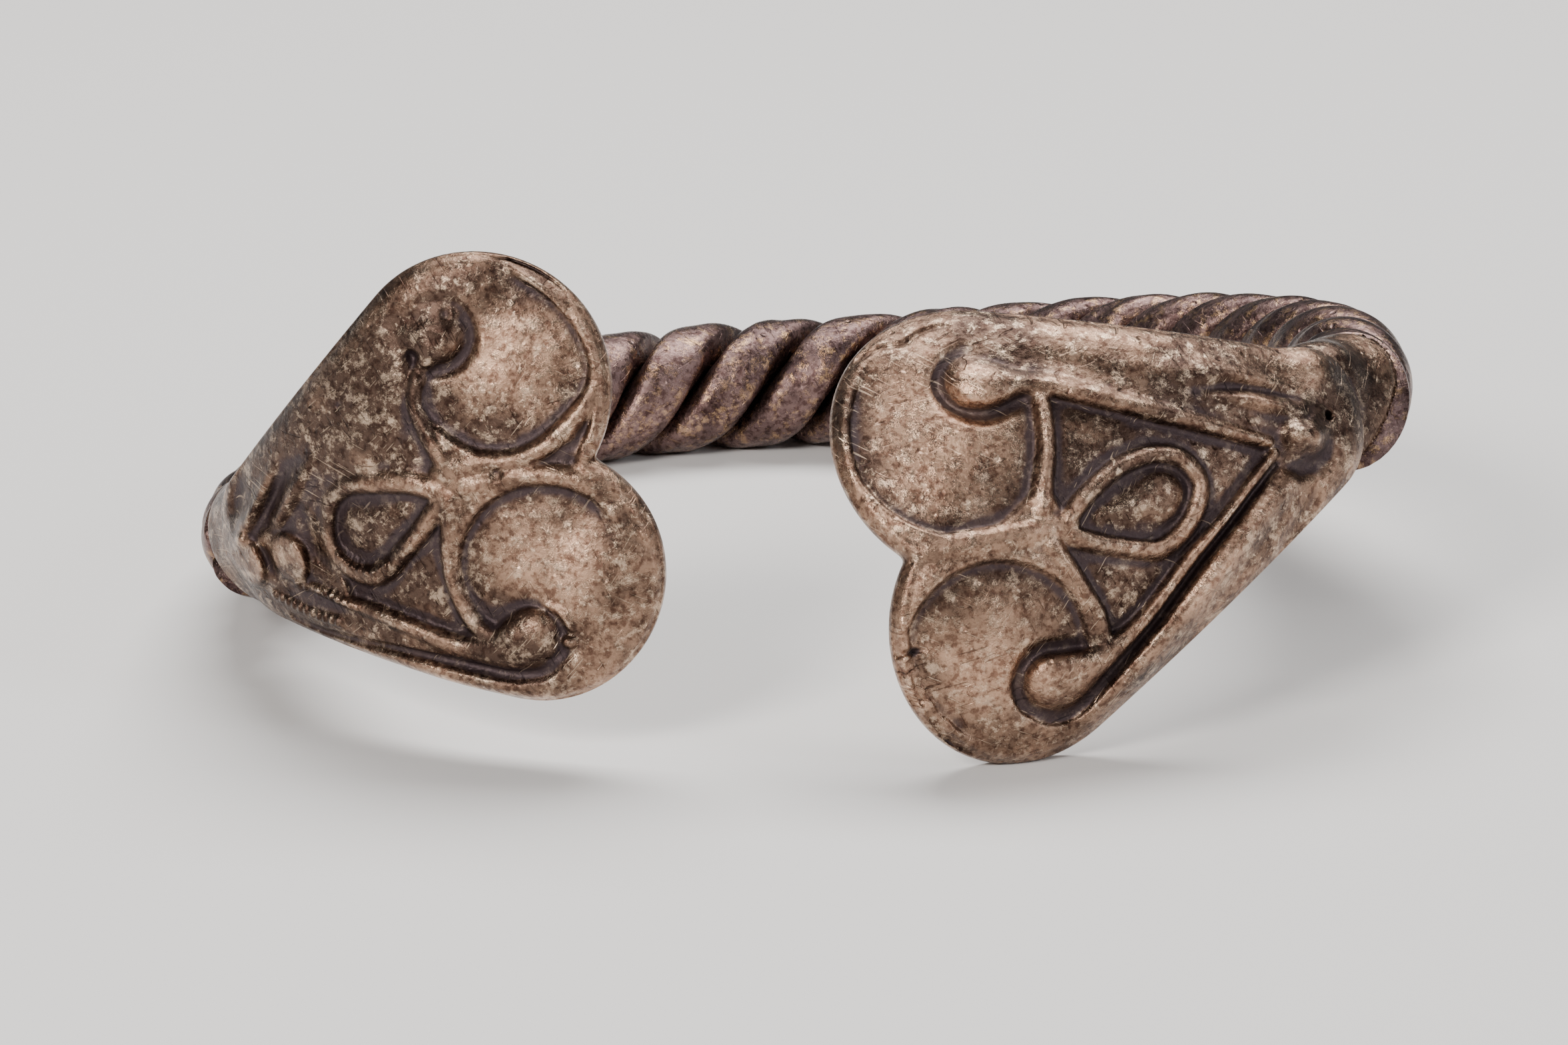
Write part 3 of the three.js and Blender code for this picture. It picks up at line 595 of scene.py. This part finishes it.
def spline(values, count):
    """Catmull-Rom through rows of values."""
    values = np.asarray(values, float)
    padded = np.vstack([2 * values[0] - values[1], values, 2 * values[-1] - values[-2]])
    t = np.linspace(0, len(values) - 1 - 1e-9, count)
    i = t.astype(int)
    f = (t - i)[:, None]
    a, b, c, d = padded[i], padded[i + 1], padded[i + 2], padded[i + 3]
    return 0.5 * (2 * b + (c - a) * f + (2 * a - 5 * b + 4 * c - d) * f ** 2
                  + (3 * b - a - 3 * c + d) * f ** 3)


def collar_mesh(heart):
    """From under the plate to a round tube that runs some way along the hoop."""
    rows = []
    for u, v, depth, half_width, half_thickness in heart["collar"]:
        rows.append([*place(heart, u, v, -depth), half_width, half_thickness])
    sign = -1 if heart["mouth"] > 90 else 1
    for angle in (4, 12, 20):
        rows.append([*hoop_point(heart["mouth"] + sign * angle), COLLAR_RADIUS, COLLAR_RADIUS])
    rows = spline(rows, 90)
    width = unit(place(heart, 0, 1, 0) - place(heart, 0, -1, 0))
    centres = rows[:, :3]
    direction = unit(np.gradient(centres, axis=0))
    rings = []
    around = np.linspace(0, 2 * np.pi, 72, endpoint=False)
    for centre, ahead, (half_width, half_thickness) in zip(centres, direction, rows[:, 3:]):
        across = unit(np.cross(ahead, width))
        wide = np.cross(across, ahead)
        rings.append(centre + np.outer(half_width * np.cos(around), wide)
                     + np.outer(half_thickness * np.sin(around), across))
    return loft(rings)


def line_distance(u, v, corners):
    """Distance to a smooth line through the corners, and how far along it the nearest point is."""
    route = spline(corners, 10 * len(corners))
    best = np.full(u.shape, 1e9)
    along = np.zeros(u.shape)
    run = 0.0
    for start, end in zip(route[:-1], route[1:]):
        step = end - start
        length = np.hypot(*step)
        share = np.clip(((u - start[0]) * step[0] + (v - start[1]) * step[1]) / length ** 2, 0, 1)
        distance = np.hypot(u - start[0] - share * step[0], v - start[1] - share * step[1])
        nearer = distance < best
        best = np.where(nearer, distance, best)
        along = np.where(nearer, run + share * length, along)
        run += length
    return best, along


def polygon_distance(u, v, corners):
    """Distance to a closed outline, below 0 inside it."""
    best = np.full(u.shape, 1e9)
    inside = np.zeros(u.shape, bool)
    for (au, av), (bu, bv) in zip(corners, corners[1:] + corners[:1]):
        du, dv = bu - au, bv - av
        share = np.clip(((u - au) * du + (v - av) * dv) / (du * du + dv * dv), 0, 1)
        best = np.minimum(best, np.hypot(u - au - share * du, v - av - share * dv))
        if dv:
            crosses = (av > v) != (bv > v)
            inside ^= crosses & (u < du * (v - av) / dv + au)
    return np.where(inside, -best, best)


def soft_max(a, b, blend):
    """The greater of two heights, rounded where they cross."""
    return 0.5 * (a + b + np.sqrt((a - b) ** 2 + blend ** 2))


def swept(u, v, rows, profile):
    """The highest of profile(distance / half width) times height along a line of varying rows."""
    route = spline(rows, 6 * len(rows))
    best = np.zeros(u.shape)
    for start, end in zip(route[:-1], route[1:]):
        step = end - start
        share = ((u - start[0]) * step[0] + (v - start[1]) * step[1]) / (step[0] ** 2 + step[1] ** 2)
        share = np.clip(share, 0, 1)
        distance = np.hypot(u - start[0] - share * step[0], v - start[1] - share * step[1])
        half_width = start[2] + share * step[2]
        tall = start[3] + share * step[3]
        best = np.maximum(best, tall * profile(distance / half_width))
    return best


def bell(x):
    return smooth(1 - x)


def dome(x):
    return np.sqrt(np.clip(1 - x * x, 0, 1))


def uneven(u, v, scale, seed):
    """Smooth unevenness between about -1 and 1, made of a few crossed waves."""
    draw = np.random.default_rng(seed)
    total = np.zeros(u.shape)
    for _ in range(9):
        turn, phase, stretch = draw.uniform(0, 2 * np.pi), draw.uniform(0, 7), draw.uniform(0.6, 1.7)
        ahead = u * np.cos(turn) + v * np.sin(turn)
        side = v * np.cos(turn) - u * np.sin(turn)
        total += np.sin(stretch * ahead / scale + phase + 1.3 * np.sin(0.7 * side / scale + phase))
    return total / 5


def relief(heart, u, v):
    """Height of the cast pattern above the lobe fields, its polish and painted highlight, and its
    stain.
    """
    edge = -edge_distance(heart, u, v)
    height = np.full(u.shape, BAND) - EDGE_FALL * smooth(1 - edge / EDGE_FALL_REACH) ** 2
    polish_and_highlight = np.zeros(u.shape)
    for field in heart["fields"]:
        du, dv = u - field["centre"][0], v - field["centre"][1]
        low, high = field["rise"]
        ahead = (du * field["open"][0] + dv * field["open"][1]) / np.hypot(*field["open"])
        depth = BAND * (1 - smooth((ahead - low) / (high - low)))
        share = np.hypot(du / field["radii"][0], dv / field["radii"][1])
        wall = (share - 1) * min(field["radii"])
        height -= depth * (1 - smooth(0.5 + wall / FIELD_WALL))
        moat = FIELD_MOAT * bell(np.abs(wall + FIELD_MOAT_REACH) / FIELD_MOAT_REACH) * depth
        height += FIELD_CROWN * smooth(-wall / FIELD_CROWN_REACH) - moat
        # The middle of each lobe field is worn polish with a painted highlight
        polish_and_highlight = np.maximum(polish_and_highlight, 1 - smooth(share / 0.95))
    for corners, depth, softness in heart["pockets"]:
        wall = polygon_distance(u, v, corners)
        height -= depth * (1 - smooth(0.5 + wall / softness))
    start, end, rise = heart["petal"]
    inside = -taper_distance(u, v, start, end)
    height += rise * np.sqrt(smooth(0.1 + inside / PETAL_SHOULDER))
    for rows in heart["ribs"]:
        wider = [(a, b, 1.3 * half_width + 0.9, 1) for a, b, half_width, _ in rows]
        height -= RIB_MOAT * swept(u, v, wider, bell)
        height = soft_max(height, swept(u, v, rows, dome), RIB_BLEND)
    for low, high in heart["rims"]:
        rim = RIM_HEIGHT * smooth((u - low) / (high - low))
        rim = rim * dome((edge - RIM_HALF_WIDTH) / RIM_HALF_WIDTH)
        height = soft_max(height, rim, RIM_BLEND)
    for rows in heart["bumps"]:
        height += swept(u, v, rows, bell)
    for rows in heart["valleys"]:
        height -= swept(u, v, rows, bell)
    for rows in heart["cuts"]:
        height -= swept(u, v, rows, dome)
    for cu, cv, half_wide, half_tall, rise in heart["shells"]:
        x, y = (u - cu) / half_wide, (v - cv) / half_tall
        disc = smooth((1 - np.hypot(x, y)) / 0.2) * (0.45 + 0.4 * np.clip(x, -1, 1))
        height += rise * (disc + 0.3 * dome(np.hypot(x, y)))
    for corners in heart["beads"]:
        distance, along = line_distance(u, v, corners)
        bead = 0.5 + 0.5 * np.cos(2 * np.pi * along / BEAD_PITCH)
        height += BEAD_HEIGHT * dome(distance / BEAD_HALF_WIDTH) * (0.5 + 0.5 * bead)
    for cu, cv, radius, depth in heart["pits"]:
        height -= depth * dome(np.hypot(u - cu, v - cv) / radius)
    height += 0.07 * uneven(u, v, 2.3, 3) + 0.03 * uneven(u, v, 0.8, 5)
    cu, cv, reach = heart["rough_edge"]
    rough = bell(np.hypot(u - cu, v - cv) / reach) * bell(edge / ROUGHNESS_BAND)
    height += ROUGHNESS_HEIGHT * rough * uneven(u, v, 0.35, 11)
    for cu, cv, reach, amount in heart["rough_spots"]:
        height += amount * bell(np.hypot(u - cu, v - cv) / reach) * uneven(u, v, 0.3, 13)
    draw = np.random.default_rng(19)
    for _ in range(PIT_COUNT):
        cu, cv = draw.uniform(-16, 16), draw.uniform(-16, 18)
        radius, depth = draw.uniform(0.2, 0.45), draw.uniform(0.03, 0.1)
        height -= depth * bell(np.hypot(u - cu, v - cv) / radius)
    # The spot by the heart's middle is worn polish with a painted highlight too
    cu, cv, reach = heart["painted_highlight_spot"]
    polish_and_highlight = np.maximum(polish_and_highlight, bell(np.hypot(u - cu, v - cv) / reach))
    soil = np.zeros(u.shape)
    for cu, cv, reach, share in heart["stains"]:
        soil = np.maximum(soil, share * bell(np.hypot(u - cu, v - cv) / reach))
    return height, polish_and_highlight, soil


def make_heart(heart):
    """Plate and collar, remeshed as one skin and raised or sunk by the relief."""
    origin, along, upward, out = heart_axes(heart)
    obj = make_object(heart["node"] + "_cast", *plate_mesh(heart))
    collar = make_object("collar", *collar_mesh(heart))
    for part in (obj, collar):
        outward(part)
    work = bmesh.new()
    work.from_mesh(collar.data)
    mouth, into = mouth_plane(heart)
    bmesh.ops.bisect_plane(work, geom=list(work.verts) + list(work.edges) + list(work.faces),
                           plane_co=Vector(mouth + into * PIECE_GAP / 2) * MM,
                           plane_no=Vector(into), clear_inner=True)
    bmesh.ops.holes_fill(work, edges=[e for e in work.edges if e.is_boundary], sides=0)
    work.to_mesh(collar.data)
    work.free()
    context = {"active_object": obj, "object": obj, "selected_editable_objects": [obj, collar],
               "selected_objects": [obj, collar]}
    with bpy.context.temp_override(**context):
        bpy.ops.object.join()
    remesh = obj.modifiers.new("remesh", "REMESH")
    remesh.mode = "VOXEL"
    remesh.voxel_size = VOXEL * MM
    graph = bpy.context.evaluated_depsgraph_get()
    mesh = bpy.data.meshes.new_from_object(obj.evaluated_get(graph))
    obj.modifiers.clear()
    obj.data = mesh
    points = points_of(obj)
    mean = neighbours_mean(obj, len(points))
    for _ in range(SMOOTHING_ROUNDS):
        points = points + 0.5 * (mean(points) - points)
    set_points(obj, points)
    local = points - origin
    u, v, w = local @ along, local @ upward, local @ out
    above = w - face_height(heart, u, v)
    normals = normals_of(obj)
    inward = (points - mouth) @ into
    # The relief fades towards the sides, well under the plate and beside the mouth
    facing = smooth((normals @ out - 0.1) / 0.4)
    front = facing * smooth((above + 5) / 1.5) * smooth((inward - 0.5) / 3)
    height, polish_and_highlight, soil = relief(heart, u, v)
    moved = points + np.outer(front * (height - BAND), out)
    for *shift, reach, rise in heart["swellings"]:
        away = np.linalg.norm(points - mouth - shift, axis=1)
        moved += (rise * bell(away / reach) * smooth(inward / 2))[:, None] * normals
    # A worn seam sinks the collar's wall at the mouth, but not the mouth's own face
    seam = SEAM_DEPTH * bell(inward / SEAM_REACH) * (1 + 0.5 * uneven(v, w, 0.6, 23))
    on_wall = np.abs(normals @ into) < 0.8
    moved -= (seam * smooth(1.5 - inward) * on_wall)[:, None] * normals
    moved = moved + 0.3 * (mean(moved) - moved)
    set_points(obj, inside_box(moved))
    mark_cavities(obj, (("cavity", 13, 0.3), ("hollow", 88, 0.75)))
    # Worn polish with a painted highlight, on the plate's front only
    add_attribute(obj, "polish_and_highlight", polish_and_highlight * front)
    add_attribute(obj, "soil", soil * facing)
    finish_piece(obj, heart["node"], CAST)


# Materials

def node(tree, kind, **values):
    made = tree.nodes.new(kind)
    for key, value in values.items():
        if key in made.inputs:
            made.inputs[key].default_value = value
        else:
            setattr(made, key, value)
    return made


def ramp(tree, source, stops):
    made = tree.nodes.new("ShaderNodeValToRGB")
    elements = made.color_ramp.elements
    while len(elements) < len(stops):
        elements.new(0.5)
    for element, (position, color) in zip(elements, stops):
        element.position = position
        element.color = (*color, 1) if isinstance(color, tuple) else (color, color, color, 1)
    tree.links.new(source, made.inputs[0])
    return made.outputs[0]


def mixed(tree, kind, share, first, second):
    made = tree.nodes.new("ShaderNodeMix")
    made.data_type = "RGBA"
    made.blend_type = kind
    for socket, value in ((0, share), (6, first), (7, second)):
        if isinstance(value, (int, float)):
            made.inputs[socket].default_value = value
        elif isinstance(value, tuple):
            made.inputs[socket].default_value = (*value, 1)
        else:
            tree.links.new(value, made.inputs[socket])
    return made.outputs[2]


def maths(tree, operation, first, second):
    made = tree.nodes.new("ShaderNodeMath")
    made.operation = operation
    for socket, value in enumerate((first, second)):
        if isinstance(value, (int, float)):
            made.inputs[socket].default_value = value
        else:
            tree.links.new(value, made.inputs[socket])
    return made.outputs[0]


def tarnished_silver(name, worn, mid, dark, glint, glint_share, scratched, wear_and_highlight_stops, dirt_stops):
    """Worn, mottled, scratched silver with a dark patina in its hollows, painted glints and
    highlight.

    Noise scales are in cells per metre, and scratches are in metres.
    """
    material = bpy.data.materials.new(name)
    material.use_nodes = True
    tree = material.node_tree
    links = tree.links
    shader = tree.nodes["Principled BSDF"]
    where = tree.nodes.new("ShaderNodeTexCoord").outputs["Object"]

    def noise(scale, detail, roughness=0.6):
        made = node(tree, "ShaderNodeTexNoise", Scale=scale, Detail=detail, Roughness=roughness)
        links.new(where, made.inputs["Vector"])
        return made.outputs["Fac"]

    def scratches(turn, length, spacing, start, places):
        """Thin broken lines that run about one way, where the broad noise says."""
        bend = node(tree, "ShaderNodeMapping", vector_type="TEXTURE", Location=(start, 0, start),
                    Rotation=(0.2 * start, turn, 0.3), Scale=(length, 0.012, spacing))
        links.new(where, bend.inputs["Vector"])
        made = node(tree, "ShaderNodeTexNoise", Scale=1.0, Detail=0.0)
        links.new(bend.outputs["Vector"], made.inputs["Vector"])
        return times(ramp(tree, made.outputs["Fac"], [(0.75, 0.0), (0.79, 1.0)]),
                     ramp(tree, broad, places))

    def times(first, second):
        return maths(tree, "MULTIPLY", first, second)

    def plus(first, second):
        return maths(tree, "ADD", first, second)

    def attribute(label):
        return node(tree, "ShaderNodeAttribute", attribute_name=label).outputs["Fac"]

    cavity, hollow = attribute("cavity"), attribute("hollow")
    polish_and_highlight, soil = attribute("polish_and_highlight"), attribute("soil")
    speckle = (0.42, 0.36, 0.36)
    broad, blotch = noise(75, 3), noise(280, 8, 0.68)
    stain, grain, fleck_and_glint = noise(420, 10, 0.75), noise(1900, 3, 0.6), noise(900, 6, 0.75)
    # Worn metal on crests and in the noise, lightened more by the polish share's painted highlight
    wear_and_highlight = plus(plus(times(broad, 0.8), times(blotch, 0.9)), times(polish_and_highlight, 0.3))
    wear_and_highlight = plus(plus(wear_and_highlight, times(hollow, -0.5)), times(soil, -0.4))
    color = mixed(tree, "MIX", ramp(tree, wear_and_highlight, wear_and_highlight_stops), mid, worn)
    for source, stops in ((stain, [(0.52, 0.0), (0.64, 0.85)]),
                          (grain, [(0.38, 0.95), (0.54, 0.0)])):
        color = mixed(tree, "MULTIPLY", ramp(tree, source, stops), color, speckle)
    # Two sets of small flecks in the glint colour are painted glints
    for source, stops in ((fleck_and_glint, [(0.53, 0.0), (0.63, 0.75)]),
                          (noise(800, 6, 0.8), [(0.57, 0.0), (0.66, 1.0)])):
        painted_glints = ramp(tree, source, stops)
        color = mixed(tree, "MIX", times(painted_glints, glint_share), color, glint)
    dirt = plus(plus(times(cavity, 0.6), times(hollow, 0.5)), times(blotch, 0.5))
    dirt = plus(dirt, times(soil, 0.15))
    patina = ramp(tree, dirt, dirt_stops)
    color = mixed(tree, "MIX", patina, color, dark)
    some, others = [(0.47, 0.0), (0.56, 1.0)], [(0.44, 1.0), (0.53, 0.0)]
    light_lines = plus(scratches(0.45, 0.0019, 0.00014, 0.013, some),
                       scratches(2.2, 0.0015, 0.00012, 0.31, others))
    dark_lines = plus(scratches(1.1, 0.0017, 0.00015, 0.23, others),
                      scratches(-0.3, 0.0022, 0.00016, 0.74, some))
    # The light scratches take the painted glints' colour
    color = mixed(tree, "MIX", times(light_lines, scratched), color, glint)
    color = mixed(tree, "MULTIPLY", times(dark_lines, 2 * scratched), color, (0.3, 0.26, 0.26))
    links.new(color, shader.inputs["Base Color"])

    rough = mixed(tree, "MIX", patina, ramp(tree, fleck_and_glint, [(0.36, 0.38), (0.62, 0.17)]),
                  (0.42, 0.42, 0.42))
    links.new(rough, shader.inputs["Roughness"])
    links.new(ramp(tree, patina, [(0.0, 0.95), (1.0, 0.6)]), shader.inputs["Metallic"])

    pits = node(tree, "ShaderNodeTexVoronoi", Scale=620.0)
    links.new(where, pits.inputs["Vector"])
    round_pits = ramp(tree, pits.outputs["Distance"], [(0.05, 0.0), (0.17, 1.0)])
    height = plus(times(blotch, 0.8), times(fleck_and_glint, 0.75))
    height = plus(height, times(round_pits, 0.45))
    height = plus(height, times(plus(light_lines, dark_lines), -0.35))
    bump = node(tree, "ShaderNodeBump", Strength=0.8, Distance=0.0002)
    links.new(height, bump.inputs["Height"])
    links.new(bump.outputs["Normal"], shader.inputs["Normal"])
    return material


def finish_piece(obj, replaced, material):
    obj.data.materials.clear()
    obj.data.materials.append(material)
    obj.data.shade_smooth()
    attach(obj, "root")
    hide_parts(replaced)


# glint is the colour of the painted glints and of the light scratches
CAST = tarnished_silver(
    "cast_silver", worn=(0.60, 0.38, 0.255), mid=(0.10, 0.062, 0.046), dark=(0.042, 0.027, 0.031),
    glint=(0.95, 0.72, 0.52), glint_share=0.5, scratched=0.3,
    wear_and_highlight_stops=[(0.5, 0.0), (0.98, 1.0)], dirt_stops=[(0.89, 0.0), (1.18, 0.85)])
TWISTED = tarnished_silver(
    "twisted_silver", worn=(0.22, 0.142, 0.13), mid=(0.024, 0.014, 0.018),
    dark=(0.007, 0.004, 0.007), glint=(0.95, 0.6, 0.3), glint_share=0.38, scratched=0.15,
    wear_and_highlight_stops=[(0.54, 0.0), (0.9, 1.0)], dirt_stops=[(0.73, 0.0), (0.9, 0.95)])

for number in range(STRANDS):
    make_strand(number)
for heart in (LEFT_HEART, RIGHT_HEART):
    make_heart(heart)


# Stage, lights and camera

def plain_material(name, color, roughness):
    material = bpy.data.materials.new(name)
    material.use_nodes = True
    shader = material.node_tree.nodes["Principled BSDF"]
    shader.inputs["Base Color"].default_value = (*color, 1)
    shader.inputs["Roughness"].default_value = roughness
    return material


FLOOR_HALF, FLOOR_DROP = 3000, 0.02
corners = [(x * FLOOR_HALF, y * FLOOR_HALF, -FLOOR_DROP)
           for x, y in ((-1, -1), (1, -1), (1, 1), (-1, 1))]
floor = make_object("floor", corners, [(0, 1, 2, 3)])
floor.data.materials.append(plain_material("floor", (0.78, 0.77, 0.76), 0.6))


LIGHT_TARGET = (0, -0.01, 0.015)


def softbox(name, at, size, power, color):
    data = bpy.data.lights.new(name, "AREA")
    data.shape = "RECTANGLE"
    data.size, data.size_y = size
    data.energy = power
    data.color = color
    light = bpy.data.objects.new(name, data)
    light.location = at
    towards = Vector(LIGHT_TARGET) - Vector(at)
    light.rotation_euler = towards.to_track_quat("-Z", "Y").to_euler()
    bpy.context.scene.collection.objects.link(light)


softbox("top", (0.05, 0.25, 0.6), (0.6, 0.3), 6.5, (1.0, 0.98, 0.96))
softbox("front_left", (-0.35, -0.55, 0.45), (0.22, 0.22), 5.4, (1.0, 0.96, 0.92))
softbox("front_right", (0.6, -0.35, 0.3), (0.2, 0.3), 1.6, (0.96, 0.97, 1.0))

world = bpy.data.worlds.new("studio")
world.use_nodes = True
background = world.node_tree.nodes["Background"]
background.inputs["Color"].default_value = (0.86, 0.87, 0.9, 1)
background.inputs["Strength"].default_value = 0.17
bpy.context.scene.world = world

camera_data = bpy.data.cameras.new("camera")
camera_data.sensor_width = SENSOR_WIDTH
camera_data.lens = FOCAL_PIXELS / IMAGE_WIDTH * SENSOR_WIDTH
camera_data.clip_start = 0.01
camera = bpy.data.objects.new("camera", camera_data)
turn = Matrix((CAMERA_RIGHT, CAMERA_UP, CAMERA_BACK)).transposed().to_4x4()
camera.matrix_world = Matrix.Translation(Vector(CAMERA_PLACE) * MM) @ turn
bpy.context.scene.collection.objects.link(camera)
bpy.context.scene.camera = camera

bpy.context.view_layer.update()
